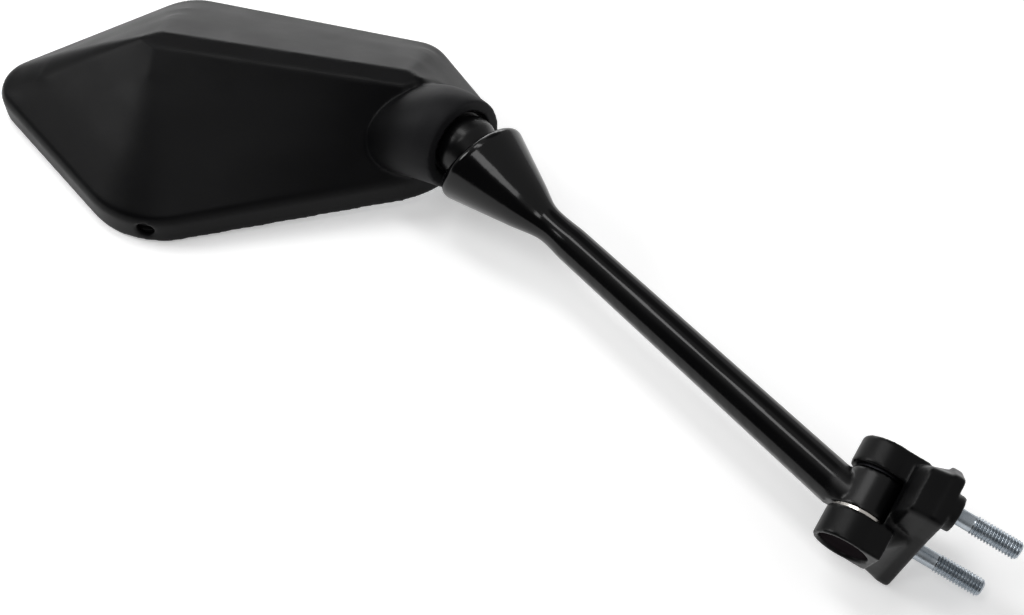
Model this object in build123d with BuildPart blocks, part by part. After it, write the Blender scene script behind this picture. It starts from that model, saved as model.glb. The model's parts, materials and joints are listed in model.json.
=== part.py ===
from build123d import *
import math
import os

os.makedirs("parts", exist_ok=True)

# Motorcycle mirror, millimetres and degrees.
# It lies on a table, glass down, resting on one edge of its rim and on the toe of its bracket.
# The origin is the middle of the bracket's seat, between the two mounting studs.
# A heading turns from +X towards -Y, and a drop points below the horizon.

# Seat and mounting studs
seat_heading = 27.6
seat_drop = 14.0
stud_spacing = 25.0
stud_slant = 20.0
stud_radius = 3.0
stud_neck_radius = 2.65
stud_root_radius = 3.3
stud_reach = 23.4
stud_thread_length = 16.0
stud_depth = 5.5
stud_chamfer = 0.8
spigot_radius = 5.75
spigot_height = 2.8

# Bracket foot, seen along the studs, with x towards the upper ear and y up
foot_depth = 14.0
foot_thickness = 4.0
foot_toe = (-17.8, -22.3)
foot_slope_top = (-5.8, 6.0)
foot_crown_left = (-2.5, 17.5)
foot_crown_right = (13.0, 17.4)
foot_shoulder = (18.5, 6.0)
foot_base = (9.0, -20.0)
foot_corner_radius = 2.5
foot_back_inset = 0.7
foot_plate_top = 2.0
foot_edge_fillet = 0.8
crown_depth = 13.5
crown_foot = -4.0
crown_inset = 0.4
crown_bevel_depth = 10.8
crown_bevel_drop = 7.5
crown_left = -6.0
crown_right = 14.5
crown_lean = 3.0

# Folding pivot
pivot_dip = 15.1
pivot_reach = 20.0
pivot_shift = (-1.5, -1.0)
pivot_stack_shift = -0.6
ear_radius = 9.7
ear_upper_height = 9.0
ear_lower_height = 9.9
ear_web = 3.0
ear_block_inset = 0.5
barrel_radius = 8.3
barrel_length = 13.0
barrel_relief = 1.0
pivot_bolt_radius = 3.0
pivot_head_radius = 5.0
pivot_head_height = 5.0
pivot_socket_flats = 5.0
pivot_socket_depth = 2.8
bush_wall = 1.45
thrust_washer_thickness = 0.9
thrust_washer_radius = 8.6
wave_washer_thickness = 0.6
wave_washer_radius = 8.0
nut_flats = 10.0
nut_height = 3.4
nut_washer_radius = 5.9
nut_washer_thickness = 1.0
nut_bore_radius = 6.5
cap_radius = 7.9
cap_thickness = 0.9
cap_recess = 1.0
cap_skirt = 1.6
cap_skirt_wall = 0.4

# Stem
stem_heading = 48.1
stem_run = 179.5
rod_base_radius = 6.85
rod_neck_radius = 5.85
rod_foot_shift = 3.0
rod_cut_margin = 1.0
flare_heading = 51.5
flare_drop = 13.0
flare_standoff = 5.2
flare_radius = 17.3
flare_length = 35.0
flare_rim_fillet = 2.8
flare_end_radius = 6.2
flare_end_heading = 35.0
flare_end_drop = -5.0
ball_radius = 11.0
ball_neck_root = 1.0
ball_neck_taper = 2.0

# Tension screw through the ball socket
screw_radius = 2.5
screw_bite = 9.5
screw_head_radius = 4.0
screw_head_height = 2.2
slip_washer_angle = 30.0
slip_washer_thickness = 1.2
slip_hub_radius = 5.2
slip_hub_height = 0.5
disc_spring_radius = 5.0
disc_spring_thickness = 0.6
disc_spring_cone = 0.4
seat_ring_thickness = 0.7
seat_ring_opening = 40.0
socket_wall = 1.8
socket_slot_radius = 5.0

# Head outline on its rim plane, with x along the head towards the stem and y across, from below the ball
head_heading = 10.0
head_lift = 3.0
ball_rise = 25.4
corner_tip = (-179.8, 17.8)
corner_top = (-116.3, 66.3)
corner_shoulder = (-22.1, 56.0)
corner_neck = (4.0, 27.5)
corner_low = (-12.8, -2.9)
corner_heel = (-111.8, -40.5)
corner_radii = (12.5, 22.0, 15.0, 13.0, 32.0, 33.0)
rim_height = 12.0
rim_wall = 2.2
crease_height = 2.4
crease_inset = 1.2

# Crest of the head's back
crest_height = 36.0
crest_west = (-119.0, 23.5)
crest_top = (-112.0, 27.1)
crest_shoulder = (-24.0, 21.8)
crest_east = (-17.0, 18.2)
crest_low = (-24.0, 14.6)
crest_heel = (-112.0, 20.0)
facet_crown = 0.9
facet_bands = 3
crest_corner_radius = 1.2
roof_thickness = 3.0
hollow_drop = 1.0

# Boss around the ball
boss_swing = 35.4
boss_rise = 9.6
boss_radius = 16.0
boss_wall = 2.2
boss_floor = 7.0
boss_waist = (-13.5, 6.2, 23.8)
boss_waist_swing = 22.0
boss_waist_rise = 5.0
boss_waist_radius = 16.7
boss_tail = (-27.8, 9.0, 14.2)
boss_tail_swing = 10.0
boss_tail_rise = 55.0
boss_tail_radius = 13.5
tilt_range = 30.0
mouth_setback = 2.0
mouth_radius = 12.1
mouth_depth = 2.2

# Drain hole at the heel corner
drain_radius = 3.0
drain_height = 6.2
drain_swing = 9.3
drain_depth = 9.0

# Glass, its gasket, pad and carrier
glass_recess = 1.0
glass_thickness = 3.0
gasket_wall = 1.2
gasket_lip = 1.5
gasket_inset = 0.3
pad_thickness = 1.5
pad_margin = 8.0
carrier_thickness = 2.0
ledge_width = 2.0
post_radius = 3.6
post_places = ((-140.0, 24.0), (-104.0, 44.0), (-104.0, -8.0), (-52.0, 38.0))
carrier_screw_radius = 1.5
carrier_screw_head = 2.8
carrier_screw_length = 8.0

# Clearances
push_fit = 0.02
running_fit = 0.05
slip_fit = 0.1
free_gap = 0.3
part_gap = 0.5


def heading(turn, drop):
    level = math.cos(math.radians(drop))
    x = level * math.cos(math.radians(turn))
    y = -level * math.sin(math.radians(turn))
    return Vector(x, y, -math.sin(math.radians(drop)))


def finish(piece, name):
    piece.part.label = name
    export_step(piece.part, f"parts/{name}.step")


# Seat plane: x towards the upper ear, y up, z out along the studs
seat_dir = heading(seat_heading, seat_drop)
level_dir = Vector(0, 0, 1).cross(seat_dir).normalized()
steep_dir = seat_dir.cross(level_dir)
pivot_dir = -(
    level_dir * math.cos(math.radians(pivot_dip))
    + steep_dir * math.sin(math.radians(pivot_dip))
)
seat = Plane(origin=(0, 0, 0), x_dir=-pivot_dir, z_dir=seat_dir)
slant = math.radians(stud_slant)
stud_offset = (
    stud_spacing / 2 * math.sin(slant),
    stud_spacing / 2 * math.cos(slant),
)
stud_places = [stud_offset, (-stud_offset[0], -stud_offset[1])]

# Pivot plane: x towards the seat, y up, z along the axis towards the lower ear
pivot_center = seat.from_local_coords((pivot_shift[0], pivot_shift[1], -pivot_reach))
pivot = Plane(origin=pivot_center, x_dir=seat_dir, z_dir=pivot_dir)
barrel_top = pivot_stack_shift - barrel_length / 2
barrel_bottom = pivot_stack_shift + barrel_length / 2
upper_face = barrel_top - wave_washer_thickness - 2 * running_fit
lower_face = barrel_bottom + thrust_washer_thickness + 2 * running_fit
upper_end = upper_face - ear_upper_height
lower_end = lower_face + ear_lower_height
upper_seat = upper_face - ear_web
lower_seat = lower_face + ear_web
cap_seat = lower_end - cap_recess - cap_thickness - slip_fit

# Mount bracket: a cast foot with two ears
foot_left = pivot_shift[0] - lower_end + foot_back_inset
foot_right = pivot_shift[0] - upper_end - foot_back_inset
foot_top = pivot_shift[1] + ear_radius - foot_back_inset
foot_bottom = pivot_shift[1] - ear_radius + foot_back_inset
foot_seat_outline = [
    foot_toe,
    foot_slope_top,
    foot_crown_left,
    foot_crown_right,
    foot_shoulder,
    foot_base,
]
foot_back_outline = [
    (foot_left, foot_bottom),
    (foot_left, foot_top),
    (foot_right, foot_top),
    (foot_right, foot_bottom),
]


# Offset of a corner list towards its inside, for walls and for pieces that fit within them
def inset(corners, distance):
    moved = []
    count = len(corners)
    for i in range(count):
        x0, y0 = corners[i - 1]
        x1, y1 = corners[i]
        x2, y2 = corners[(i + 1) % count]
        before = Vector(x1 - x0, y1 - y0).normalized()
        after = Vector(x2 - x1, y2 - y1).normalized()
        turn = before.X * after.Y - before.Y * after.X
        shift = distance * (1 - before.dot(after)) / turn
        x = x1 + before.X * shift + before.Y * distance
        y = y1 + before.Y * shift - before.X * distance
        moved.append((x, y))
    return moved


# The point of a slanted edge at a given height
def on_edge(low, high, y):
    return (low[0] + (high[0] - low[0]) * (y - low[1]) / (high[1] - low[1]), y)


foot_plate_outline = [
    foot_toe,
    on_edge(foot_toe, foot_slope_top, foot_plate_top),
    on_edge(foot_base, foot_shoulder, foot_plate_top),
    foot_base,
]
crown_front_outline = [
    on_edge(foot_toe, foot_slope_top, crown_foot),
    foot_slope_top,
    foot_crown_left,
    foot_crown_right,
    foot_shoulder,
    on_edge(foot_base, foot_shoulder, crown_foot),
]


# The crown block's outline behind the seat, with its top at a given height
def crown_outline(top):
    knee = (top + crown_foot) / 2
    return [
        (crown_left, crown_foot),
        (crown_left, knee),
        (crown_left + crown_lean, top),
        (crown_right - crown_lean, top),
        (crown_right, knee),
        (crown_right, crown_foot),
    ]


crown_top = foot_crown_left[1]
with BuildPart() as mount_bracket:
    with BuildSketch(seat.offset(-foot_thickness)):
        with BuildLine():
            FilletPolyline(*foot_seat_outline, radius=foot_corner_radius, close=True)
        make_face()
    extrude(amount=foot_thickness)
    seat_face = mount_bracket.faces().sort_by(Axis((0, 0, 0), tuple(seat_dir)))[-1]
    fillet(seat_face.edges(), foot_edge_fillet)
    # The crown block behind the seat, with a bevel towards the stem
    with BuildSketch(seat.offset(-foot_thickness / 2)):
        with BuildLine():
            FilletPolyline(*inset(crown_front_outline, crown_inset), radius=foot_corner_radius, close=True)
        make_face()
    with BuildSketch(seat.offset(-crown_bevel_depth)):
        with BuildLine():
            FilletPolyline(*crown_outline(crown_top), radius=foot_corner_radius, close=True)
        make_face()
    with BuildSketch(seat.offset(-crown_depth)):
        with BuildLine():
            FilletPolyline(*crown_outline(crown_top - crown_bevel_drop), radius=foot_corner_radius, close=True)
        make_face()
    loft(ruled=True)
    # The plate that joins the seat to the ears
    with BuildSketch(seat.offset(-foot_thickness)):
        with BuildLine():
            FilletPolyline(*foot_plate_outline, radius=foot_corner_radius, close=True)
        make_face()
    with BuildSketch(seat.offset(-foot_depth)):
        with BuildLine():
            FilletPolyline(*foot_back_outline, radius=foot_corner_radius, close=True)
        make_face()
    loft(ruled=True)
    # Each ear is a drum on the pivot axis, joined to the foot by a block behind it
    for start, height in ((upper_end, ear_upper_height), (lower_face, ear_lower_height)):
        with BuildSketch(pivot.offset(start)):
            Circle(ear_radius)
            with Locations((pivot_reach / 4, 0)):
                Rectangle(pivot_reach / 2, 2 * (ear_radius - ear_block_inset))
        extrude(amount=height)
    # Room for the stem's barrel to turn between the ears
    with BuildSketch(pivot.offset(upper_face)):
        Circle(barrel_radius + barrel_relief)
    extrude(amount=lower_face - upper_face, mode=Mode.SUBTRACT)
    with BuildSketch(pivot.offset(upper_end)):
        Circle(pivot_bolt_radius + slip_fit)
    extrude(amount=lower_end - upper_end, mode=Mode.SUBTRACT)
    with BuildSketch(pivot.offset(upper_end)):
        Circle(pivot_head_radius + free_gap)
    extrude(amount=upper_seat - upper_end, mode=Mode.SUBTRACT)
    with BuildSketch(pivot.offset(lower_seat)):
        Circle(nut_bore_radius)
    extrude(amount=lower_end - lower_seat, mode=Mode.SUBTRACT)
    with BuildSketch(pivot.offset(cap_seat)):
        Circle(cap_radius + slip_fit)
    extrude(amount=lower_end - cap_seat, mode=Mode.SUBTRACT)
    # A spigot at the upper stud, and blind holes that hold the studs
    with BuildSketch(seat):
        with Locations(stud_places[0]):
            Circle(spigot_radius)
    extrude(amount=spigot_height)
    with BuildSketch(seat.offset(-stud_depth)):
        with Locations(*stud_places):
            Circle(stud_root_radius + push_fit)
    extrude(amount=stud_depth + spigot_height, mode=Mode.SUBTRACT)
finish(mount_bracket, "mount_bracket")

# Mounting studs, necked where the thread ends
thread_start = stud_reach - stud_thread_length
with BuildPart() as mounting_studs:
    for place, root_height in zip(stud_places, (spigot_height, 0)):
        with BuildSketch(seat.offset(-stud_depth)):
            with Locations(place):
                Circle(stud_root_radius)
        extrude(amount=stud_depth + root_height)
        with BuildSketch(seat.offset(root_height)):
            with Locations(place):
                Circle(stud_neck_radius)
        extrude(amount=thread_start - root_height)
    with BuildSketch(seat.offset(thread_start)):
        with Locations(*stud_places):
            Circle(stud_radius)
    extrude(amount=stud_thread_length)
    tips = mounting_studs.faces().group_by(Axis((0, 0, 0), tuple(seat_dir)))[-1]
    chamfer(tips.edges(), stud_chamfer)
finish(mounting_studs, "mounting_studs")

# Pivot bolt: socket head in the upper ear, thread in the nut
with BuildPart() as pivot_bolt:
    with BuildSketch(pivot.offset(upper_seat - pivot_head_height)):
        Circle(pivot_head_radius)
    extrude(amount=pivot_head_height)
    with BuildSketch(pivot.offset(upper_seat)):
        Circle(pivot_bolt_radius)
    extrude(amount=lower_seat + nut_washer_thickness + nut_height - upper_seat)
    with BuildSketch(pivot.offset(upper_seat - pivot_head_height)):
        RegularPolygon(pivot_socket_flats / 2, 6, major_radius=False)
    extrude(amount=pivot_socket_depth, mode=Mode.SUBTRACT)
finish(pivot_bolt, "pivot_bolt")

with BuildPart() as nut_washer:
    with BuildSketch(pivot.offset(lower_seat)):
        Circle(nut_washer_radius)
        Circle(pivot_bolt_radius + slip_fit, mode=Mode.SUBTRACT)
    extrude(amount=nut_washer_thickness)
finish(nut_washer, "nut_washer")

with BuildPart() as pivot_nut:
    with BuildSketch(pivot.offset(lower_seat + nut_washer_thickness)):
        RegularPolygon(nut_flats / 2, 6, major_radius=False)
        Circle(pivot_bolt_radius + push_fit, mode=Mode.SUBTRACT)
    extrude(amount=nut_height)
finish(pivot_nut, "pivot_nut")

# Plug that closes the lower ear, with a skirt that snaps into the nut's bore
skirt_radius = nut_bore_radius - running_fit
with BuildPart() as pivot_cap:
    with BuildSketch(pivot.offset(cap_seat)):
        Circle(cap_radius)
    extrude(amount=cap_thickness)
    with BuildSketch(pivot.offset(cap_seat - cap_skirt)):
        Circle(skirt_radius)
        Circle(skirt_radius - cap_skirt_wall, mode=Mode.SUBTRACT)
    extrude(amount=cap_skirt)
finish(pivot_cap, "pivot_cap")

# Washers between the barrel and the ears
with BuildPart() as thrust_washer:
    with BuildSketch(pivot.offset(lower_face - thrust_washer_thickness)):
        Circle(thrust_washer_radius)
        Circle(pivot_bolt_radius + slip_fit, mode=Mode.SUBTRACT)
    extrude(amount=thrust_washer_thickness)
finish(thrust_washer, "thrust_washer")

with BuildPart() as wave_washer:
    with BuildSketch(pivot.offset(upper_face)):
        Circle(wave_washer_radius)
        Circle(pivot_bolt_radius + slip_fit, mode=Mode.SUBTRACT)
    extrude(amount=wave_washer_thickness)
finish(wave_washer, "wave_washer")

# The table lies under the bracket's toe, and the tip-to-heel edge of the rim lies on it
floor_z = mount_bracket.part.bounding_box().min.Z
edge_x = corner_heel[0] - corner_tip[0]
edge_y = corner_heel[1] - corner_tip[1]
edge_length = math.hypot(edge_x, edge_y)
edge_turn = math.degrees(math.atan2(-edge_y, edge_x))
ball_inboard = (corner_tip[1] * edge_x - corner_tip[0] * edge_y) / -edge_length
lift = math.radians(head_lift)
ball_z = floor_z + ball_inboard * math.sin(lift) + ball_rise * math.cos(lift)
stem_level_run = math.sqrt(stem_run**2 - (ball_z - pivot_center.Z) ** 2)
stem_level = heading(stem_heading, 0) * stem_level_run
ball = Vector(pivot_center.X - stem_level.X, pivot_center.Y - stem_level.Y, ball_z)

# Head plane: the rim plane, tilted about the edge that lies on the table
edge_dir = heading(head_heading + edge_turn, 0)
inboard_level = Vector(0, 0, 1).cross(edge_dir)
inboard_dir = inboard_level * math.cos(lift) + Vector(0, 0, 1) * math.sin(lift)
head_up = edge_dir.cross(inboard_dir)
head_x = edge_dir * (edge_x / edge_length) - inboard_dir * (edge_y / edge_length)
head = Plane(origin=ball - head_up * ball_rise, x_dir=head_x, z_dir=head_up)

# Collar plane at the ball: z out of the boss towards the stem, x in the plane of the stem's lean
swing = math.radians(boss_swing)
rise = math.radians(boss_rise)
boss_dir = (
    head.x_dir * (math.cos(rise) * math.cos(swing))
    - head.y_dir * (math.cos(rise) * math.sin(swing))
    + head.z_dir * math.sin(rise)
)
flare_dir = heading(flare_heading, flare_drop)
tilt_dir = boss_dir.cross(flare_dir).normalized()
lean_dir = tilt_dir.cross(boss_dir)
boss = Plane(origin=ball, x_dir=lean_dir, z_dir=boss_dir)
lean = boss_dir.get_angle(flare_dir)

# Stem: tapered rod, flare, ball and pivot barrel in one casting
flare = Plane(origin=ball + flare_dir * flare_standoff, x_dir=tilt_dir, z_dir=flare_dir)
rod_foot = pivot_center + pivot_dir * rod_foot_shift
rod_dir = (rod_foot - flare.origin).normalized()
rod_start = flare.origin + rod_dir * flare_length
rod = Plane(origin=rod_start, x_dir=rod_dir.cross(Vector(0, 0, 1)).normalized(), z_dir=rod_dir)
flare_end_dir = heading(flare_end_heading, flare_end_drop)
flare_end = Plane(
    origin=rod_start,
    x_dir=flare_end_dir.cross(Vector(0, 0, 1)).normalized(),
    z_dir=flare_end_dir,
)
rod_length = (rod_foot - rod_start).length
pin = Plane(origin=ball, x_dir=tilt_dir, z_dir=flare_dir)
bush_radius = pivot_bolt_radius + running_fit + bush_wall
neck_end = flare_standoff + ball_neck_root
with BuildPart() as stem:
    with BuildSketch(flare):
        Circle(flare_radius)
    with BuildSketch(flare_end):
        Circle(flare_end_radius)
    loft(ruled=True)
    flare_rim = stem.edges().sort_by(SortBy.LENGTH)[-1]
    fillet(flare_rim, flare_rim_fillet)
    with BuildSketch(rod.offset(-flare_length / 2)):
        Circle(rod_neck_radius)
    with BuildSketch(rod.offset(rod_length)):
        Circle(rod_base_radius)
    loft(ruled=True)
    with BuildSketch(pivot.offset(barrel_top)):
        Circle(barrel_radius)
    extrude(amount=barrel_length)
    # The rod is cut back where the ears turn past it
    for start, height in ((barrel_top, upper_end), (barrel_bottom, lower_end)):
        with BuildSketch(pivot.offset(start)):
            Circle(ear_radius + part_gap + rod_cut_margin)
        extrude(amount=height, mode=Mode.SUBTRACT)
    with BuildSketch(Plane(origin=ball, x_dir=flare_dir, z_dir=tilt_dir)):
        with BuildLine():
            Line((-ball_radius, 0), (neck_end, 0))
            Line((neck_end, 0), (neck_end, ball_radius - ball_neck_taper))
            Line((neck_end, ball_radius - ball_neck_taper), (0, ball_radius))
            RadiusArc((0, ball_radius), (-ball_radius, 0), -ball_radius)
        make_face()
    revolve(axis=Axis(tuple(ball), tuple(flare_dir)))
    with BuildSketch(pin.offset(-ball_radius)):
        Circle(screw_radius + push_fit)
    extrude(amount=screw_bite + part_gap, mode=Mode.SUBTRACT)
    with BuildSketch(pivot.offset(barrel_top)):
        Circle(bush_radius + push_fit)
    extrude(amount=barrel_length, mode=Mode.SUBTRACT)
finish(stem, "stem")

with BuildPart() as pivot_bush:
    with BuildSketch(pivot.offset(barrel_top)):
        Circle(bush_radius)
        Circle(pivot_bolt_radius + running_fit, mode=Mode.SUBTRACT)
    extrude(amount=barrel_length)
finish(pivot_bush, "pivot_bush")

# Pieces stacked on the tension screw, behind the ball
seat_inner = ball_radius + running_fit
seat_outer = seat_inner + seat_ring_thickness
socket_inner = seat_outer + running_fit
socket_outer = socket_inner + socket_wall
slip_inner = socket_outer + running_fit
slip_outer = slip_inner + slip_washer_thickness
hub_back = slip_outer + slip_hub_height
spring_stack = 2 * (disc_spring_thickness + disc_spring_cone)
screw_head_start = hub_back + spring_stack
screw_section = Plane(origin=ball, x_dir=-flare_dir, z_dir=tilt_dir)
screw_axis = Axis(tuple(ball), tuple(flare_dir))


def on_arc(radius, angle):
    return (radius * math.cos(math.radians(angle)), radius * math.sin(math.radians(angle)))


def at_height(radius, height):
    return (math.sqrt(radius**2 - height**2), height)


with BuildPart() as tension_screw:
    with BuildSketch(pin.offset(-ball_radius + screw_bite)):
        Circle(screw_radius)
    extrude(amount=-(screw_head_start - ball_radius + screw_bite))
    with BuildSketch(pin.offset(-screw_head_start)):
        Circle(screw_head_radius)
    extrude(amount=-screw_head_height)
    with BuildSketch(pin.offset(-screw_head_start - screw_head_height)):
        RegularPolygon(screw_radius / 2, 6)
    extrude(amount=screw_head_height / 2, mode=Mode.SUBTRACT)
finish(tension_screw, "tension_screw")

screw_hole = screw_radius + slip_fit
with BuildPart() as slip_washer:
    with BuildSketch(screw_section):
        rim_in = on_arc(slip_inner, slip_washer_angle)
        rim_out = on_arc(slip_outer, slip_washer_angle)
        hub_foot = at_height(slip_outer, slip_hub_radius)
        hole_in = at_height(slip_inner, screw_hole)
        with BuildLine():
            RadiusArc(hole_in, rim_in, -slip_inner)
            Line(rim_in, rim_out)
            RadiusArc(rim_out, hub_foot, slip_outer)
            Line(hub_foot, (hub_back, slip_hub_radius))
            Line((hub_back, slip_hub_radius), (hub_back, screw_hole))
            Line((hub_back, screw_hole), hole_in)
        make_face()
    revolve(axis=screw_axis)
finish(slip_washer, "slip_washer")

# Two disc springs, mouth to mouth at their outer edges
spring_middle = hub_back + spring_stack / 2
with BuildPart() as disc_springs:
    for side in (-1, 1):
        inner_face = spring_middle + side * spring_stack / 2
        outer_face = spring_middle + side * disc_spring_thickness
        with BuildSketch(screw_section):
            with BuildLine():
                Polyline(
                    (inner_face, screw_hole),
                    (outer_face, disc_spring_radius),
                    (spring_middle, disc_spring_radius),
                    (inner_face - side * disc_spring_thickness, screw_hole),
                    close=True,
                )
            make_face()
        revolve(axis=screw_axis)
finish(disc_springs, "disc_springs")

# Plastic ring that the ball turns in
boss_section = Plane(origin=ball, x_dir=-boss_dir, z_dir=tilt_dir)
boss_axis = Axis(tuple(ball), tuple(boss_dir))
mouth_floor = mouth_setback + mouth_depth
ring_front = mouth_floor + slip_fit
with BuildPart() as ball_seat:
    with BuildSketch(boss_section):
        front_in = (ring_front, math.sqrt(seat_inner**2 - ring_front**2))
        front_out = (ring_front, math.sqrt(seat_outer**2 - ring_front**2))
        back_in = on_arc(seat_inner, seat_ring_opening)
        back_out = on_arc(seat_outer, seat_ring_opening)
        with BuildLine():
            RadiusArc(back_in, front_in, -seat_inner)
            Line(front_in, front_out)
            RadiusArc(front_out, back_out, seat_outer)
            Line(back_out, back_in)
        make_face()
    revolve(axis=boss_axis)
finish(ball_seat, "ball_seat")


rim_corners = [corner_tip, corner_top, corner_shoulder, corner_neck, corner_low, corner_heel]
crest_corners = [crest_west, crest_top, crest_shoulder, crest_east, crest_low, crest_heel]


def rim_sketch(distance, height):
    radii = [radius - distance for radius in corner_radii]
    with BuildSketch(head.offset(height)) as outline:
        with BuildLine():
            FilletPolyline(*inset(rim_corners, distance), radius=radii, close=True)
        make_face()
    return outline.sketch


def crest_sketch(height):
    with BuildSketch(head.offset(height)) as outline:
        with BuildLine():
            FilletPolyline(*crest_corners, radius=crest_corner_radius, close=True)
        make_face()
    return outline.sketch


# A level between the rim and the crest, lifted so that the facets are slightly crowned
def facet_sketch(part):
    low_corners = inset(rim_corners, crease_inset)
    corners = [(a[0] + (b[0] - a[0]) * part, a[1] + (b[1] - a[1]) * part) for a, b in zip(low_corners, crest_corners)]
    radii = [(radius - crease_inset) * (1 - part) + crest_corner_radius * part for radius in corner_radii]
    height = rim_height + (crest_height - rim_height) * part + 4 * facet_crown * part * (1 - part)
    with BuildSketch(head.offset(height)) as outline:
        with BuildLine():
            FilletPolyline(*corners, radius=radii, close=True)
        make_face()
    return outline.sketch


# Heights inside the head, from the rim up
glass_face = glass_recess
glass_back = glass_face + glass_thickness
carrier_face = glass_back + pad_thickness
ledge = carrier_face + carrier_thickness + push_fit
hollow_shoulder = rim_height - hollow_drop

# The hollow of the head's back, around four posts for the carrier
with BuildPart() as back_hollow:
    hollow_floor = rim_sketch(rim_wall + ledge_width, hollow_shoulder)
    hollow_roof = crest_sketch(crest_height - roof_thickness)
    loft([hollow_floor.face(), hollow_roof.face()], ruled=True)
    extrude(rim_sketch(rim_wall + ledge_width, ledge), amount=hollow_shoulder - ledge)
    with BuildSketch(head.offset(ledge)):
        with Locations(*post_places):
            Circle(post_radius)
    extrude(amount=crest_height, mode=Mode.SUBTRACT)


# A section of the boss, on a plane that looks along the head with a swing and a rise
def boss_section_plane(place, swing_angle, rise_angle):
    turn = math.radians(swing_angle)
    climb = math.radians(rise_angle)
    along = (
        head.x_dir * (math.cos(climb) * math.cos(turn))
        - head.y_dir * (math.cos(climb) * math.sin(turn))
        + head.z_dir * math.sin(climb)
    )
    across = head.z_dir.cross(along).normalized()
    return Plane(origin=head.from_local_coords(place), x_dir=across, z_dir=along)


def boss_sketch(plane, radius):
    with BuildSketch(plane) as ring:
        Circle(radius)
    return ring.sketch.face()


mouth = boss_section_plane((0, 0, ball_rise), boss_swing, boss_rise)
waist = boss_section_plane(boss_waist, boss_waist_swing, boss_waist_rise)
tail = boss_section_plane(boss_tail, boss_tail_swing, boss_tail_rise)

# The bore behind the socket, which the tension screw swings in
with BuildPart() as boss_bore:
    loft(
        [
            boss_sketch(mouth.offset(-boss_floor), boss_radius - boss_wall),
            boss_sketch(waist, boss_waist_radius - boss_wall),
            boss_sketch(tail, boss_tail_radius - boss_wall),
        ]
    )
    with BuildSketch(boss_section):
        with BuildLine():
            Line((-socket_outer, 0), (socket_outer, 0))
            RadiusArc((socket_outer, 0), (-socket_outer, 0), -socket_outer)
        make_face()
    revolve(axis=boss_axis, mode=Mode.SUBTRACT)

# The slot in the socket's back lets the screw swing with the tilt
slot_radius = (socket_inner + socket_outer) / 2
slot_far = slot_radius * math.sin(math.radians(lean))
slot_near = slot_radius * math.sin(math.radians(tilt_range - lean))
slot_middle = (slot_near - slot_far) / 2

# The drain hole stands square to the heel's rounded corner, swung from its middle towards the low corner
heel_to_tip = Vector(corner_tip[0] - corner_heel[0], corner_tip[1] - corner_heel[1]).normalized()
heel_to_low = Vector(corner_low[0] - corner_heel[0], corner_low[1] - corner_heel[1]).normalized()
heel_in = (heel_to_tip + heel_to_low).normalized()
heel_half = math.radians(heel_to_tip.get_angle(heel_to_low) / 2)
heel_center = Vector(*corner_heel) + heel_in * (corner_radii[-1] / math.sin(heel_half))
drain_out = (-heel_in).rotate(Axis.Z, drain_swing)
drain_foot = heel_center + drain_out * corner_radii[-1]
drain = Plane(
    origin=head.from_local_coords((drain_foot.X, drain_foot.Y, drain_height)),
    x_dir=head.z_dir,
    z_dir=head.x_dir * drain_out.X + head.y_dir * drain_out.Y,
)
with BuildPart() as housing:
    extrude(rim_sketch(0, 0), amount=rim_height - crease_height)
    loft(
        [
            rim_sketch(0, rim_height - crease_height).face(),
            rim_sketch(crease_inset, rim_height).face(),
            *[facet_sketch(band / facet_bands).face() for band in range(1, facet_bands)],
            crest_sketch(crest_height).face(),
        ],
        ruled=True,
    )
    loft(
        [
            boss_sketch(mouth.offset(-mouth_setback), boss_radius),
            boss_sketch(waist, boss_waist_radius),
            boss_sketch(tail, boss_tail_radius),
        ]
    )
    add(back_hollow.part, mode=Mode.SUBTRACT)
    add(boss_bore.part, mode=Mode.SUBTRACT)
    # Pocket for the glass and its carrier
    extrude(rim_sketch(rim_wall, 0), amount=ledge, mode=Mode.SUBTRACT)
    # Socket and mouth
    with BuildSketch(boss_section):
        with BuildLine():
            Line((-socket_inner, 0), (socket_inner, 0))
            RadiusArc((socket_inner, 0), (-socket_inner, 0), -socket_inner)
        make_face()
    revolve(axis=boss_axis, mode=Mode.SUBTRACT)
    with BuildSketch(boss.offset(-mouth_floor)):
        Circle(mouth_radius)
    extrude(amount=mouth_floor + boss_radius, mode=Mode.SUBTRACT)
    with BuildSketch(boss.offset(-socket_outer - part_gap)):
        with Locations((slot_middle, 0)):
            SlotCenterToCenter(slot_near + slot_far, 2 * socket_slot_radius)
    extrude(amount=socket_outer - mouth_floor, mode=Mode.SUBTRACT)
    with BuildSketch(head.offset(ledge)):
        with Locations(*post_places):
            Circle(carrier_screw_radius + push_fit)
    extrude(amount=carrier_screw_length, mode=Mode.SUBTRACT)
    with BuildSketch(drain):
        Circle(drain_radius)
    extrude(amount=drain_depth, both=True, mode=Mode.SUBTRACT)
finish(housing, "housing")

# Carrier plate against the ledge, with its countersunk screws
with BuildPart() as carrier_plate:
    extrude(rim_sketch(rim_wall + free_gap, carrier_face), amount=carrier_thickness)
    with Locations(head.offset(carrier_face)):
        with Locations(*post_places):
            CounterSinkHole(carrier_screw_radius + slip_fit, carrier_screw_head, carrier_thickness)
finish(carrier_plate, "carrier_plate")

sink_depth = carrier_screw_head - carrier_screw_radius
screw_grip = carrier_thickness + carrier_screw_length - part_gap
with BuildPart() as carrier_screws:
    with Locations(head.offset(carrier_face)):
        with Locations(*post_places):
            Cylinder(carrier_screw_radius, screw_grip, align=(Align.CENTER, Align.CENTER, Align.MIN))
            Cone(
                carrier_screw_head - slip_fit,
                carrier_screw_radius,
                sink_depth,
                align=(Align.CENTER, Align.CENTER, Align.MIN),
            )
finish(carrier_screws, "carrier_screws")

# Adhesive pad, glass and gasket
with BuildPart() as foam_pad:
    extrude(rim_sketch(rim_wall + pad_margin, glass_back), amount=pad_thickness)
finish(foam_pad, "foam_pad")

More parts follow.
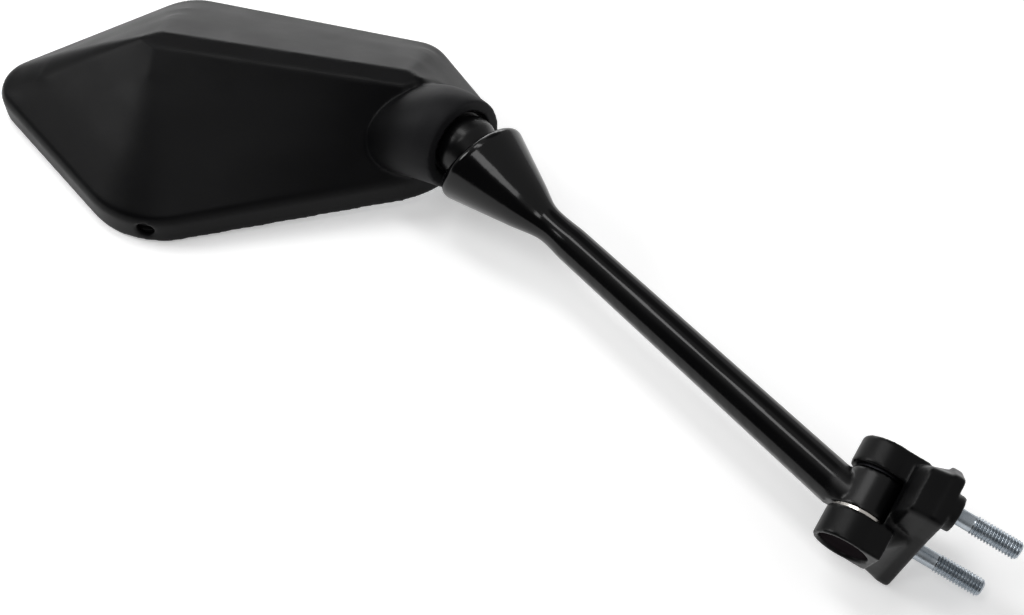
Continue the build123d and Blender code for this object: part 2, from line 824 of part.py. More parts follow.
glass_inset = rim_wall + slip_fit + gasket_wall
with BuildPart() as mirror_glass:
    extrude(rim_sketch(glass_inset + slip_fit, glass_face), amount=glass_thickness)
finish(mirror_glass, "mirror_glass")

with BuildPart() as glass_gasket:
    extrude(rim_sketch(rim_wall + slip_fit, gasket_inset), amount=glass_back - gasket_inset)
    extrude(rim_sketch(glass_inset, glass_face), amount=glass_thickness, mode=Mode.SUBTRACT)
    extrude(rim_sketch(glass_inset + gasket_lip, 0), amount=glass_back, mode=Mode.SUBTRACT)
finish(glass_gasket, "glass_gasket")
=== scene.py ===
import json
import math

import bmesh
import bpy
import numpy as np
from mathutils import Matrix, Vector


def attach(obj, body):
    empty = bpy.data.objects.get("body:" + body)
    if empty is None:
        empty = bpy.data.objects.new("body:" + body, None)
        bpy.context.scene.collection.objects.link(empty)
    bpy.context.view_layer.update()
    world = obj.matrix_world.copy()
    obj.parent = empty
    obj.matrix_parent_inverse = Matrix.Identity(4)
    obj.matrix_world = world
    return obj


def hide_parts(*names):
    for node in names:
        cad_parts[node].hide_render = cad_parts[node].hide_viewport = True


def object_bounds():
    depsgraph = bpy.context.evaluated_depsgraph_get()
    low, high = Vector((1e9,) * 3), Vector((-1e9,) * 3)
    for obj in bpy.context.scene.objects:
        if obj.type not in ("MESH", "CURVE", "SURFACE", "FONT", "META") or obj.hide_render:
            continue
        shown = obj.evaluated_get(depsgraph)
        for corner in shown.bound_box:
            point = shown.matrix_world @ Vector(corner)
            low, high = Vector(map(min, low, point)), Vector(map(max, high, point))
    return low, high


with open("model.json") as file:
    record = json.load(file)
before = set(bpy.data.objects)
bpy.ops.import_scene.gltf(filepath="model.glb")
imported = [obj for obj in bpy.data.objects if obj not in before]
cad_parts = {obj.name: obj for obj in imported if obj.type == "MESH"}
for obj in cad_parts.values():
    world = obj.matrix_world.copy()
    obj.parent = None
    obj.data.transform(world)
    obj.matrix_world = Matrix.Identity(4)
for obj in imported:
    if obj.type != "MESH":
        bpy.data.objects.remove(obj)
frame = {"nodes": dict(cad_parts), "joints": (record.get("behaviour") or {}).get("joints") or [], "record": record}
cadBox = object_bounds()
nodes = frame["nodes"]
joints = {joint["name"]: joint for joint in frame["joints"]}
mounts = {mount["name"]: mount for mount in frame["record"]["mounts"]}
seatDir = Vector(mounts["seat"]["axis"]).normalized()  # out along the studs
pivotDir = Vector(joints["fold"]["axis"]).normalized()  # towards the lower ear
pivotPlace = Vector(joints["fold"]["pos_m"])
ballPlace = Vector(joints["head_twist"]["pos_m"])
flareDir = Vector(joints["head_twist"]["axis"]).normalized()
tableHeight = cadBox[0].z
print("frame:", len(nodes), "CAD nodes, table at", round(tableHeight, 5))


# mesh helpers
mergeDistance = 2e-6
edgeGain = 9.0  # how soon a corner counts as rubbed
edgeBlur = 4


def linkPiece(name, mesh):
    piece = bpy.data.objects.new(name, mesh)
    bpy.context.scene.collection.objects.link(piece)
    return piece


def bakedMesh(piece):  # what the modifiers give, as a plain mesh
    bpy.context.view_layer.update()
    graph = bpy.context.evaluated_depsgraph_get()
    mesh = bpy.data.meshes.new_from_object(piece.evaluated_get(graph), depsgraph=graph)
    piece.modifiers.clear()
    piece.data = mesh
    mesh.name = piece.name
    return mesh


def castingFrom(nodeName, name, skin):  # copy of a CAD node in even quads that lie on its own surface
    mesh = nodes[nodeName].data.copy()
    shell = bmesh.new()
    shell.from_mesh(mesh)
    bmesh.ops.remove_doubles(shell, verts=shell.verts, dist=mergeDistance)
    shell.to_mesh(mesh)
    shell.free()
    form = linkPiece(name + "Form", mesh)
    piece = linkPiece(name, mesh.copy())
    remesh = piece.modifiers.new("evenSkin", "REMESH")
    remesh.mode = "VOXEL"
    remesh.voxel_size = skin
    snap = piece.modifiers.new("onForm", "SHRINKWRAP")
    snap.wrap_method = "NEAREST_SURFACEPOINT"
    snap.target = form
    bakedMesh(piece)
    bpy.data.objects.remove(form)
    return piece


def points(mesh):
    flat = np.empty(len(mesh.vertices) * 3)
    mesh.vertices.foreach_get("co", flat)
    return flat.reshape(-1, 3)


def normals(mesh):
    flat = np.empty(len(mesh.vertices) * 3)
    mesh.vertices.foreach_get("normal", flat)
    return flat.reshape(-1, 3)


def edgePairs(mesh):
    flat = np.empty(len(mesh.edges) * 2, dtype=np.int32)
    mesh.edges.foreach_get("vertices", flat)
    return flat.reshape(-1, 2)


def neighbourMean(place, pairs, count):
    total = np.empty_like(place)
    for axis in range(place.shape[1]):
        total[:, axis] = np.bincount(pairs[:, 0], place[pairs[:, 1], axis], count)
        total[:, axis] += np.bincount(pairs[:, 1], place[pairs[:, 0], axis], count)
    degree = np.bincount(pairs.ravel(), minlength=count)
    return total / np.maximum(degree, 1)[:, None]


def softenEdges(mesh, rounds, weight):  # rounds the corners of an even skin, more where weight is high
    place = points(mesh)
    pairs = edgePairs(mesh)
    for step in range(rounds):
        place += (neighbourMean(place, pairs, len(place)) - place) * (0.5 * weight)[:, None]
    mesh.vertices.foreach_set("co", place.ravel())
    mesh.update()


def calmFlats(mesh, skin, rounds, corner, margin, weight):  # evens out the flats, and leaves the corners be
    place = points(mesh)
    pairs = edgePairs(mesh)
    lift = ((place - neighbourMean(place, pairs, len(place))) * normals(mesh)).sum(1)
    near = (np.abs(lift) / skin > corner).astype(float)[:, None]
    for step in range(margin):  # a border along each corner
        near = (near + neighbourMean(near, pairs, len(place)) > 0).astype(float)
    for step in range(2 * margin):  # and a gradual change to the flats
        near = 0.5 * near + 0.5 * neighbourMean(near, pairs, len(place))
    softenEdges(mesh, rounds, weight * (1 - near.ravel()))


def addMark(mesh, name, value):  # a number at each vertex, for the finishes
    mesh.attributes.new(name, "FLOAT", "POINT").data.foreach_set("value", value)


def markEdges(mesh, skin):  # edgeRub: 1 on outside corners, 0 on flats
    place = points(mesh)
    pairs = edgePairs(mesh)
    lift = ((place - neighbourMean(place, pairs, len(place))) * normals(mesh)).sum(1)
    rub = np.clip(lift / skin * edgeGain, 0.0, 1.0)[:, None]
    for step in range(edgeBlur):
        rub = 0.5 * rub + 0.5 * neighbourMean(rub, pairs, len(place))
    addMark(mesh, "edgeRub", rub.ravel())


def smoothStep(low, high, value):
    t = np.clip((value - low) / (high - low), 0.0, 1.0)
    return t * t * (3.0 - 2.0 * t)


def shadeSoft(mesh):
    mesh.polygons.foreach_set("use_smooth", [True] * len(mesh.polygons))
    mesh.update()


# finishes
cloudDetail = 3.0
fineDetail = 2.0
broadDetail = 1.0


def newFinish(name):
    finish = bpy.data.materials.new(name)
    finish.use_nodes = True
    tree = finish.node_tree
    tree.nodes.clear()
    out = tree.nodes.new("ShaderNodeOutputMaterial")
    shader = tree.nodes.new("ShaderNodeBsdfPrincipled")
    tree.links.new(shader.outputs["BSDF"], out.inputs["Surface"])
    place = tree.nodes.new("ShaderNodeTexCoord")
    return finish, tree, shader, place.outputs["Object"]


def grain(tree, place, scale, detail):
    noise = tree.nodes.new("ShaderNodeTexNoise")
    noise.inputs["Scale"].default_value = scale
    noise.inputs["Detail"].default_value = detail
    tree.links.new(place, noise.inputs["Vector"])
    return noise.outputs["Fac"]


def tint(tree, value, dark, light, low=0.3, high=0.7):
    ramp = tree.nodes.new("ShaderNodeValToRGB")
    ramp.color_ramp.elements[0].position = low
    ramp.color_ramp.elements[0].color = (*dark, 1)
    ramp.color_ramp.elements[1].position = high
    ramp.color_ramp.elements[1].color = (*light, 1)
    tree.links.new(value, ramp.inputs["Fac"])
    return ramp.outputs["Color"]


def spread(tree, value, low, high, fromLow=0.3, fromHigh=0.7):
    mapRange = tree.nodes.new("ShaderNodeMapRange")
    mapRange.inputs["From Min"].default_value = fromLow
    mapRange.inputs["From Max"].default_value = fromHigh
    mapRange.inputs["To Min"].default_value = low
    mapRange.inputs["To Max"].default_value = high
    tree.links.new(value, mapRange.inputs["Value"])
    return mapRange.outputs["Result"]


def relief(tree, value, strength, depth, under=None):
    bump = tree.nodes.new("ShaderNodeBump")
    bump.inputs["Strength"].default_value = strength
    bump.inputs["Distance"].default_value = depth
    tree.links.new(value, bump.inputs["Height"])
    if under:
        tree.links.new(under, bump.inputs["Normal"])
    return bump.outputs["Normal"]


def shifted(tree, value, markName, amount):  # changes a value where the piece carries a mark
    mark = tree.nodes.new("ShaderNodeAttribute")
    mark.attribute_name = markName
    shift = tree.nodes.new("ShaderNodeMath")
    shift.operation = "MULTIPLY_ADD"
    shift.inputs[1].default_value = amount
    tree.links.new(mark.outputs["Fac"], shift.inputs[0])
    tree.links.new(value, shift.inputs[2])
    return shift.outputs["Value"]


def toned(tree, colour, markName, marked):  # another colour where the piece carries a mark
    mark = tree.nodes.new("ShaderNodeAttribute")
    mark.attribute_name = markName
    mix = tree.nodes.new("ShaderNodeMix")
    mix.data_type = "RGBA"
    plain, other = [socket for socket in mix.inputs if socket.type == "RGBA"]
    tree.links.new(mark.outputs["Fac"], mix.inputs[0])
    tree.links.new(colour, plain)
    other.default_value = (*marked, 1)
    return next(socket for socket in mix.outputs if socket.type == "RGBA")


def paintFinish(name, look):
    finish, tree, shader, place = newFinish(name)
    cloud = grain(tree, place, look["cloudScale"], cloudDetail)
    fine = grain(tree, place, look["grainScale"], fineDetail)
    broad = grain(tree, place, look["waveScale"], broadDetail)
    colour = tint(tree, cloud, look["dark"], look["light"])
    for markName, marked in look.get("tones", {}).items():
        colour = toned(tree, colour, markName, marked)
    tree.links.new(colour, shader.inputs["Base Color"])
    rough = spread(tree, cloud, *look["rough"])
    for markName, amount in look.get("marks", {}).items():
        rough = shifted(tree, rough, markName, amount)
    tree.links.new(rough, shader.inputs["Roughness"])
    wave = relief(tree, broad, look["waveStrength"], look["waveDepth"])
    surface = relief(tree, fine, look["grainStrength"], look["grainDepth"], wave)
    tree.links.new(surface, shader.inputs["Normal"])
    shader.inputs["Specular IOR Level"].default_value = look["gloss"]
    return finish


def metalFinish(name, look):
    finish, tree, shader, place = newFinish(name)
    cloud = grain(tree, place, look["cloudScale"], cloudDetail)
    scratch = grain(tree, place, look["scratchScale"], fineDetail)
    tree.links.new(tint(tree, cloud, look["dark"], look["light"]), shader.inputs["Base Color"])
    tree.links.new(spread(tree, scratch, *look["rough"]), shader.inputs["Roughness"])
    tree.links.new(relief(tree, scratch, look["strength"], look["depth"]), shader.inputs["Normal"])
    shader.inputs["Metallic"].default_value = 1.0
    return finish


def mirrorFinish(name, look):  # silvered glass with a faint tint and a few dust marks
    finish, tree, shader, place = newFinish(name)
    cloud = grain(tree, place, look["cloudScale"], fineDetail)
    dust = grain(tree, place, look["dustScale"], cloudDetail)
    tree.links.new(tint(tree, cloud, look["dark"], look["light"]), shader.inputs["Base Color"])
    rough = spread(tree, dust, *look["rough"], look["dustLow"], look["dustHigh"])
    tree.links.new(rough, shader.inputs["Roughness"])
    shader.inputs["Metallic"].default_value = 1.0
    return finish


# the collar tone below is a painted sheen: the collar round the ball mouth is painted lighter than the rest of the
# housing, standing in for its reflection; it is also rougher there
# the drain tone below is painted shade: the inside of the drain hole is painted near black
headLook = dict(dark=(0.0017, 0.0017, 0.002), light=(0.0025, 0.0025, 0.0029), rough=(0.39, 0.45),
                gloss=0.09, cloudScale=70, grainScale=2400, waveScale=160, grainStrength=0.35,
                grainDepth=0.00006, waveStrength=0.12, waveDepth=0.0002,
                marks=dict(edgeRub=-0.12, collarSheen=0.12, drain=0.4),
                tones=dict(collarSheen=(0.012, 0.012, 0.013), drain=(0.0003, 0.0003, 0.0003)))
stemLook = dict(dark=(0.0014, 0.0014, 0.0016), light=(0.0022, 0.0022, 0.0025), rough=(0.12, 0.16),
                gloss=0.28, cloudScale=45, grainScale=900, waveScale=260, grainStrength=0.06,
                grainDepth=0.00003, waveStrength=0.05, waveDepth=0.00008, marks=dict(satin=0.18))
bracketLook = dict(dark=(0.0014, 0.0014, 0.0016), light=(0.0024, 0.0024, 0.0027), rough=(0.32, 0.4),
                   gloss=0.16, cloudScale=110, grainScale=1500, waveScale=420, grainStrength=0.22,
                   grainDepth=0.00005, waveStrength=0.1, waveDepth=0.00012, marks=dict(edgeRub=-0.05))
capLook = dict(dark=(0.012, 0.0096, 0.011), light=(0.016, 0.0128, 0.0145), rough=(0.6, 0.7), gloss=0.0,
               cloudScale=160, grainScale=2200, waveScale=500, grainStrength=0.3, grainDepth=0.00005,
               waveStrength=0.1, waveDepth=0.0001)
bushLook = dict(dark=(0.42, 0.4, 0.34), light=(0.55, 0.53, 0.46), rough=(0.38, 0.5), gloss=0.4,
                cloudScale=150, grainScale=1800, waveScale=400, grainStrength=0.2, grainDepth=0.00003,
                waveStrength=0.05, waveDepth=0.0001)
seatLook = dict(dark=(0.02, 0.02, 0.021), light=(0.032, 0.032, 0.033), rough=(0.3, 0.42), gloss=0.45,
                cloudScale=140, grainScale=1800, waveScale=400, grainStrength=0.15, grainDepth=0.00003,
                waveStrength=0.05, waveDepth=0.0001)
carrierLook = dict(dark=(0.004, 0.004, 0.0045), light=(0.007, 0.007, 0.0075), rough=(0.6, 0.7), gloss=0.15,
                   cloudScale=60, grainScale=1600, waveScale=200, grainStrength=0.3, grainDepth=0.00006,
                   waveStrength=0.12, waveDepth=0.0002)
foamLook = dict(dark=(0.05, 0.05, 0.052), light=(0.11, 0.11, 0.112), rough=(0.8, 0.95), gloss=0.2,
                cloudScale=900, grainScale=2600, waveScale=1200, grainStrength=0.7, grainDepth=0.0002,
                waveStrength=0.6, waveDepth=0.0003)
gasketLook = dict(dark=(0.008, 0.008, 0.008), light=(0.014, 0.014, 0.014), rough=(0.55, 0.7), gloss=0.3,
                  cloudScale=200, grainScale=2000, waveScale=350, grainStrength=0.25, grainDepth=0.00005,
                  waveStrength=0.1, waveDepth=0.0001)
zincLook = dict(dark=(0.3, 0.34, 0.38), light=(0.46, 0.5, 0.54), rough=(0.2, 0.34), cloudScale=260,
                scratchScale=900, strength=0.08, depth=0.00003)
darkZincLook = dict(dark=(0.2, 0.21, 0.22), light=(0.3, 0.31, 0.32), rough=(0.28, 0.4), cloudScale=300,
                    scratchScale=900, strength=0.1, depth=0.00003)
washerLook = dict(dark=(0.62, 0.58, 0.54), light=(0.8, 0.77, 0.73), rough=(0.18, 0.3), cloudScale=320,
                  scratchScale=1500, strength=0.08, depth=0.00002)
springLook = dict(dark=(0.1, 0.1, 0.105), light=(0.17, 0.17, 0.175), rough=(0.3, 0.45), cloudScale=300,
                  scratchScale=1400, strength=0.1, depth=0.00002)
bluedLook = dict(dark=(0.012, 0.012, 0.014), light=(0.02, 0.02, 0.023), rough=(0.4, 0.5), cloudScale=300,
                 scratchScale=1400, strength=0.1, depth=0.00002)

headFinish = paintFinish("mouldedBlack", headLook)
stemFinish = paintFinish("glossBlackPaint", stemLook)
bracketFinish = paintFinish("satinBlackPaint", bracketLook)
capFinish = paintFinish("capPlastic", capLook)
bushFinish = paintFinish("bushNylon", bushLook)
seatFinish = paintFinish("seatRingPlastic", seatLook)
carrierFinish = paintFinish("carrierPlastic", carrierLook)
foamFinish = paintFinish("foamPad", foamLook)
gasketFinish = paintFinish("gasketRubber", gasketLook)
zincFinish = metalFinish("brightZinc", zincLook)
darkZincFinish = metalFinish("dullZinc", darkZincLook)
washerFinish = metalFinish("washerSteel", washerLook)
springFinish = metalFinish("springSteel", springLook)
bluedFinish = metalFinish("bluedSteel", bluedLook)

mirrorLook = dict(dark=(0.84, 0.86, 0.88), light=(0.88, 0.9, 0.91), rough=(0.015, 0.12), cloudScale=40,
                  dustScale=700, dustLow=0.62, dustHigh=0.8)
glassFinish = mirrorFinish("silveredGlass", mirrorLook)
print("finishes:", len(bpy.data.materials))

# head shell: soft-edged moulding on the CAD housing
headShell = dict(skin=0.0007, rounds=7, calm=130, corner=0.009, margin=4, inside=0.35, turnOver=0.004,
                 lip=0.3, mouth=0.0175, middle=(-0.22, 0.16, -0.004), collarSheen=0.02, collarFade=0.008,
                 drain=(-0.2472, 0.1256, -0.0173), drainOut=(-0.183, -0.982, -0.042), drainRadius=0.0032,
                 drainReach=0.012)
shell = castingFrom("housing", "headShell", headShell["skin"])
place = points(shell.data)
outward = ((place - np.array(headShell["middle"])) * normals(shell.data)).sum(1)
outside = smoothStep(-headShell["turnOver"], headShell["turnOver"], outward)
soft = headShell["inside"] + (1 - headShell["inside"]) * outside
ballReach = np.linalg.norm(place - np.array(ballPlace), axis=1)
soft = np.where(ballReach < headShell["mouth"], headShell["lip"], soft)
softenEdges(shell.data, headShell["rounds"], soft)
calmFlats(shell.data, headShell["skin"], headShell["calm"], headShell["corner"], headShell["margin"], soft)
markEdges(shell.data, headShell["skin"])
place = points(shell.data)
ballReach = np.linalg.norm(place - np.array(ballPlace), axis=1)
collarEnd = headShell["collarSheen"] + headShell["collarFade"]
# the collar mark: where the painted sheen lies, full near the ball and fading out beyond the collar reach
addMark(shell.data, "collarSheen", 1 - smoothStep(headShell["collarSheen"], collarEnd, ballReach))
# painted shade: the inside of the drain hole is found here and marked to be painted near black
fromDrain = place - np.array(headShell["drain"])
drainOut = np.array(headShell["drainOut"])
depth = fromDrain @ drainOut
offAxis = np.linalg.norm(fromDrain - depth[:, None] * drainOut, axis=1)
inShadedDrain = (offAxis < headShell["drainRadius"]) & (abs(depth) < headShell["drainReach"])
addMark(shell.data, "drain", inShadedDrain.astype(float))
shadeSoft(shell.data)
shell.data.materials.clear()
shell.data.materials.append(headFinish)
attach(shell, "head")
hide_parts("housing")
print("head shell:", len(shell.data.polygons), "faces")

# stem casting: flare, rod, barrel and ball under one coat of paint
stemCasting = dict(skin=0.0005, rounds=6, rodShift=0.003, flareStandoff=0.0052, flareLength=0.035,
                   bendCore=0.006, bend=0.014, bendRounds=120, satin=0.0115, satinFade=0.003)
casting = castingFrom("stem", "stemCasting", stemCasting["skin"])
softenEdges(casting.data, stemCasting["rounds"], np.ones(len(casting.data.vertices)))
flareFoot = ballPlace + flareDir * stemCasting["flareStandoff"]
rodFoot = pivotPlace + pivotDir * stemCasting["rodShift"]
rodStart = flareFoot + (rodFoot - flareFoot).normalized() * stemCasting["flareLength"]
bendReach = np.linalg.norm(points(casting.data) - np.array(rodStart), axis=1)
atBend = 1 - smoothStep(stemCasting["bendCore"], stemCasting["bend"], bendReach)
softenEdges(casting.data, stemCasting["bendRounds"], atBend)
place = points(casting.data)
ballReach = np.linalg.norm(place - np.array(ballPlace), axis=1)
pivotReach = np.linalg.norm(place - np.array(pivotPlace), axis=1)
satinEnd = stemCasting["satin"] + stemCasting["satinFade"]
satin = 1 - smoothStep(stemCasting["satin"], satinEnd, np.minimum(ballReach, pivotReach))
addMark(casting.data, "satin", satin)
shadeSoft(casting.data)
casting.data.materials.clear()
casting.data.materials.append(stemFinish)
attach(casting, "stem")
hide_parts("stem")
print("stem casting:", len(casting.data.polygons), "faces")

# bracket casting
bracketCasting = dict(skin=0.00045, rounds=9)
bracket = castingFrom("mount_bracket", "bracketCasting", bracketCasting["skin"])
softenEdges(bracket.data, bracketCasting["rounds"], np.ones(len(bracket.data.vertices)))
markEdges(bracket.data, bracketCasting["skin"])
shadeSoft(bracket.data)
bracket.data.materials.clear()
bracket.data.materials.append(bracketFinish)
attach(bracket, "bracket")
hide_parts("mount_bracket")
print("bracket casting:", len(bracket.data.polygons), "faces")

# mounting studs: one helical thread, set on both feet by Geometry Nodes
studSizes = dict(spacing=0.025, slant=20.0, buried=0.0055, rootRadius=0.0033, spigot=0.0028,
                 neckRadius=0.00265, threadStart=0.0074, reach=0.0234, crestRadius=0.003,
                 grooveRadius=0.00246, pitch=0.001, tipRadius=0.0022, sides=56, stepsPerPitch=10,
                 flankGain=1.35, flankDrop=-0.16)


class NodeDesk:  # short hand for building a node tree
    def __init__(self, name):
        self.tree = bpy.data.node_groups.new(name, "GeometryNodeTree")
        self.face = self.tree.interface
        self.face.new_socket("Geometry", in_out="INPUT", socket_type="NodeSocketGeometry")

    def size(self, name, value):
        socket = self.face.new_socket(name, in_out="INPUT", socket_type="NodeSocketFloat")
        socket.default_value = value
        return socket.identifier

    def node(self, kind, **settings):
        made = self.tree.nodes.new(kind)
        for key, value in settings.items():
            setattr(made, key, value)
        return made

    def join(self, source, target):
        self.tree.links.new(source, target)

    def math(self, operation, *values):
        made = self.node("ShaderNodeMath", operation=operation)
        for index, value in enumerate(values):
            if isinstance(value, (int, float)):
                made.inputs[index].default_value = value
            else:
                self.join(value, made.inputs[index])
        return made.outputs[0]


def studTree(sizes, finish):
    desk = NodeDesk("studThread")
    ids = {}
    for key in ("buried", "rootRadius", "spigot", "neckRadius", "threadStart", "reach", "crestRadius",
                "grooveRadius", "pitch", "tipRadius"):
        ids[key] = desk.size(key, sizes[key])
    desk.face.new_socket("Geometry", in_out="OUTPUT", socket_type="NodeSocketGeometry")
    inlet = desk.node("NodeGroupInput")
    outlet = desk.node("NodeGroupOutput")
    value = {key: inlet.outputs[key] for key in ids}
    calc = desk.math
    total = calc("ADD", value["buried"], value["reach"])
    rod = desk.node("GeometryNodeMeshCylinder", fill_type="NGON")
    rod.inputs["Vertices"].default_value = sizes["sides"]
    rings = calc("MULTIPLY", calc("DIVIDE", total, value["pitch"]), sizes["stepsPerPitch"])
    desk.join(rings, rod.inputs["Side Segments"])
    rod.inputs["Radius"].default_value = sizes["crestRadius"]
    desk.join(total, rod.inputs["Depth"])
    lift = desk.node("GeometryNodeSetPosition")  # the cylinder is centred on its middle
    desk.join(rod.outputs["Mesh"], lift.inputs["Geometry"])
    middle = desk.node("ShaderNodeCombineXYZ")
    desk.join(calc("SUBTRACT", calc("MULTIPLY", total, 0.5), value["buried"]), middle.inputs["Z"])
    desk.join(middle.outputs["Vector"], lift.inputs["Offset"])
    place = desk.node("GeometryNodeInputPosition")
    split = desk.node("ShaderNodeSeparateXYZ")
    desk.join(place.outputs["Position"], split.inputs["Vector"])
    z = split.outputs["Z"]
    angle = calc("DIVIDE", calc("ARCTAN2", split.outputs["Y"], split.outputs["X"]), math.tau)
    phase = calc("FRACT", calc("SUBTRACT", calc("DIVIDE", z, value["pitch"]), angle))
    ridge = calc("SUBTRACT", 1.0, calc("ABSOLUTE", calc("SUBTRACT", calc("MULTIPLY", phase, 2.0), 1.0)))
    flank = calc("MULTIPLY_ADD", ridge, sizes["flankGain"], sizes["flankDrop"])
    crest = calc("MINIMUM", calc("MAXIMUM", flank, 0.0), 1.0)
    depth = calc("SUBTRACT", value["crestRadius"], value["grooveRadius"])
    thread = calc("MULTIPLY_ADD", crest, depth, value["grooveRadius"])
    start = calc("DIVIDE", calc("SUBTRACT", z, value["threadStart"]), value["pitch"])
    fade = calc("MINIMUM", calc("MAXIMUM", start, 0.0), 1.0)
    shank = calc("MULTIPLY_ADD", fade, calc("SUBTRACT", thread, value["neckRadius"]), value["neckRadius"])
    chamfer = calc("ADD", value["tipRadius"], calc("SUBTRACT", value["reach"], z))
    shank = calc("MINIMUM", shank, chamfer)
    inside = calc("LESS_THAN", z, value["spigot"])
    radius = calc("MULTIPLY_ADD", inside, calc("SUBTRACT", value["rootRadius"], shank), shank)
    ratio = calc("DIVIDE", radius, sizes["crestRadius"])
    spot = desk.node("ShaderNodeCombineXYZ")
    desk.join(calc("MULTIPLY", split.outputs["X"], ratio), spot.inputs["X"])
    desk.join(calc("MULTIPLY", split.outputs["Y"], ratio), spot.inputs["Y"])
    desk.join(z, spot.inputs["Z"])
    turnThread = desk.node("GeometryNodeSetPosition")
    desk.join(lift.outputs["Geometry"], turnThread.inputs["Geometry"])
    desk.join(spot.outputs["Vector"], turnThread.inputs["Position"])
    feet = desk.node("GeometryNodeInstanceOnPoints")
    desk.join(inlet.outputs["Geometry"], feet.inputs["Points"])
    desk.join(turnThread.outputs["Geometry"], feet.inputs["Instance"])
    aim = desk.node("FunctionNodeAlignRotationToVector", axis="Z")
    aim.inputs["Vector"].default_value = seatDir
    desk.join(aim.outputs["Rotation"], feet.inputs["Rotation"])
    real = desk.node("GeometryNodeRealizeInstances")
    desk.join(feet.outputs["Instances"], real.inputs["Geometry"])
    coat = desk.node("GeometryNodeSetMaterial")
    coat.inputs["Material"].default_value = finish
    desk.join(real.outputs["Geometry"], coat.inputs["Geometry"])
    desk.join(coat.outputs["Geometry"], outlet.inputs["Geometry"])
    return desk.tree, ids


seatAcross = -pivotDir
seatUp = seatDir.cross(seatAcross)
slant = math.radians(studSizes["slant"])
studFoot = (seatAcross * math.sin(slant) + seatUp * math.cos(slant)) * (studSizes["spacing"] / 2)
threadTree, ids = studTree(studSizes, zincFinish)
bothStuds = bmesh.new()
for foot, spigot in ((studFoot, studSizes["spigot"]), (-studFoot, 0.0)):  # the lower stud has no spigot
    footMesh = bpy.data.meshes.new("studFoot")
    footMesh.from_pydata([foot], [], [])
    stud = linkPiece("stud", footMesh)
    maker = stud.modifiers.new("studThread", "NODES")
    maker.node_group = threadTree
    for key, identifier in ids.items():
        maker[identifier] = studSizes[key]
    maker[ids["spigot"]] = spigot
    bothStuds.from_mesh(bakedMesh(stud))
    bpy.data.objects.remove(stud)
studMesh = bpy.data.meshes.new("studThreads")
bothStuds.to_mesh(studMesh)
bothStuds.free()
studMesh.materials.append(zincFinish)
studs = linkPiece("studThreads", studMesh)
shadeSoft(studs.data)
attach(studs, "bracket")
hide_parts("mounting_studs")
print("studs:", len(studs.data.polygons), "faces")

# CAD nodes that keep their shape
coats = dict(pivot_bolt=darkZincFinish, pivot_nut=zincFinish, nut_washer=zincFinish, pivot_cap=capFinish,
             thrust_washer=washerFinish, wave_washer=bluedFinish, pivot_bush=bushFinish,
             tension_screw=zincFinish, disc_springs=springFinish, slip_washer=washerFinish,
             ball_seat=seatFinish, carrier_plate=carrierFinish, carrier_screws=zincFinish,
             foam_pad=foamFinish, mirror_glass=glassFinish, glass_gasket=gasketFinish)
for nodeName, finish in coats.items():
    nodes[nodeName].material_slots[0].material = finish
print("CAD nodes coated:", len(coats))

# table
tableSize = dict(half=5.0, tone=0.93, toneSpread=0.01, cloudScale=3.0, rough=0.9, lift=0.34)
tableMesh = bpy.data.meshes.new("table")
half = tableSize["half"]
tableMesh.from_pydata([(-half, -half, tableHeight), (half, -half, tableHeight), (half, half, tableHeight),
                       (-half, half, tableHeight)], [], [(0, 1, 2, 3)])
table = linkPiece("table", tableMesh)
tableFinish, treeTable, shader, place = newFinish("whiteTable")
plain = (tableSize["tone"],) * 3
pale = (tableSize["tone"] + tableSize["toneSpread"],) * 3
cloud = grain(treeTable, place, tableSize["cloudScale"], fineDetail)
treeTable.links.new(tint(treeTable, cloud, plain, pale), shader.inputs["Base Color"])
shader.inputs["Roughness"].default_value = tableSize["rough"]
shader.inputs["Specular IOR Level"].default_value = 0.0
shader.inputs["Emission Color"].default_value = (1, 1, 1, 1)
ray = treeTable.nodes.new("ShaderNodeLightPath")  # the lift is seen, in reflections too, but lights nothing
seen = ray.outputs["Is Camera Ray"]
for kind in ("Is Glossy Ray", "Is Transmission Ray"):
    either = treeTable.nodes.new("ShaderNodeMath")
    either.operation = "MAXIMUM"
    treeTable.links.new(seen, either.inputs[0])
    treeTable.links.new(ray.outputs[kind], either.inputs[1])
    seen = either.outputs["Value"]
amount = treeTable.nodes.new("ShaderNodeMath")
amount.operation = "MULTIPLY"
amount.inputs[1].default_value = tableSize["lift"]
treeTable.links.new(seen, amount.inputs[0])
treeTable.links.new(amount.outputs["Value"], shader.inputs["Emission Strength"])
tableMesh.materials.append(tableFinish)

# light
centre = Vector((-0.085, 0.075, 0.0))  # the lamps point here
lamps = dict(
    strip=dict(aim=(-0.283, 0.298, 0.911), far=0.99, size=(0.7, 0.2), radiance=5.6,
               along=(0.665, -0.742, -0.02)),  # the line of light on the rod
    cross=dict(aim=(-0.251, -0.292, 0.923), far=0.975, size=(0.2, 0.3), radiance=4.6,
               along=(0.665, -0.742, 0)),  # the line of light on the flare
    fill=dict(aim=(-0.8, 0.25, 0.55), far=1.0, size=(0.32, 0.32), radiance=8.0, along=(0, 1, 0)),
    back=dict(aim=(-0.16, 0.98, 0.12), far=1.2, size=(1.0, 0.3), radiance=4.2, along=(1, 0, 0)),
)
for name, lamp in lamps.items():
    light = bpy.data.lights.new(name, "AREA")
    light.shape = "RECTANGLE"
    light.size, light.size_y = lamp["size"]
    light.energy = math.pi * light.size * light.size_y * lamp["radiance"]
    holder = bpy.data.objects.new(name, light)
    bpy.context.scene.collection.objects.link(holder)
    back = Vector(lamp["aim"]).normalized()
    along = Vector(lamp["along"])
    along = (along - back * along.dot(back)).normalized()
    up = back.cross(along)
    turn = Matrix((along, up, back)).transposed().to_4x4()
    holder.matrix_world = Matrix.Translation(centre + back * lamp["far"]) @ turn

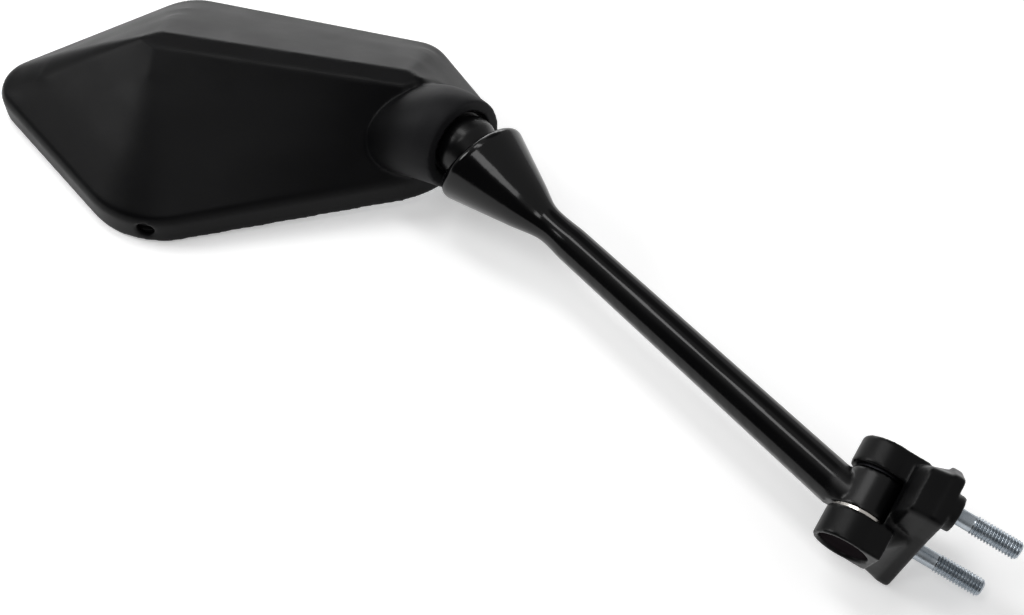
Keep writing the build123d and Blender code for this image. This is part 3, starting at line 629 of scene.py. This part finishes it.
world = bpy.data.worlds.new("studio")
bpy.context.scene.world = world
world.use_nodes = True
sky = world.node_tree
sky.nodes.clear()
skyLook = dict(dome=0.6, shades=(dict(aim=(-0.80, -0.52, 0.30), low=0.5, high=0.88, share=0.12),
                                 dict(aim=(0.18, 0.74, 0.65), low=0.93, high=0.985, share=0.25)))
skyOut = sky.nodes.new("ShaderNodeOutputWorld")
glow = sky.nodes.new("ShaderNodeBackground")
aim = sky.nodes.new("ShaderNodeTexCoord")
glowLevel = None
for shade in skyLook["shades"]:  # darker stretches of the room
    facing = sky.nodes.new("ShaderNodeVectorMath")
    facing.operation = "DOT_PRODUCT"
    facing.inputs[1].default_value = shade["aim"]
    sky.links.new(aim.outputs["Generated"], facing.inputs[0])
    fade = sky.nodes.new("ShaderNodeMapRange")
    fade.interpolation_type = "SMOOTHSTEP"
    fade.inputs["From Min"].default_value = shade["low"]
    fade.inputs["From Max"].default_value = shade["high"]
    fade.inputs["To Min"].default_value = skyLook["dome"] if glowLevel is None else 1.0
    fade.inputs["To Max"].default_value = fade.inputs["To Min"].default_value * shade["share"]
    sky.links.new(facing.outputs["Value"], fade.inputs["Value"])
    level = fade.outputs["Result"]
    if glowLevel is not None:
        product = sky.nodes.new("ShaderNodeMath")
        product.operation = "MULTIPLY"
        sky.links.new(glowLevel, product.inputs[0])
        sky.links.new(level, product.inputs[1])
        level = product.outputs["Value"]
    glowLevel = level
sky.links.new(glowLevel, glow.inputs["Strength"])
sky.links.new(glow.outputs["Background"], skyOut.inputs["Surface"])

# camera: as far and as steep as the photograph's
cameraSet = dict(lens=70.3125, sensor=36.0, near=0.01, fromPivot=(-0.105, -0.3009, 0.5107), tilt=36.0)
lens = bpy.data.cameras.new("camera")
lens.lens = cameraSet["lens"]
lens.sensor_width = cameraSet["sensor"]
lens.clip_start = cameraSet["near"]
camera = bpy.data.objects.new("camera", lens)
bpy.context.scene.collection.objects.link(camera)
camera.location = pivotPlace + Vector(cameraSet["fromPivot"])
camera.rotation_euler = (math.radians(cameraSet["tilt"]), 0, 0)
bpy.context.scene.camera = camera
bpy.context.scene.view_settings.view_transform = "Standard"

bpy.context.view_layer.update()
print("scene ready")
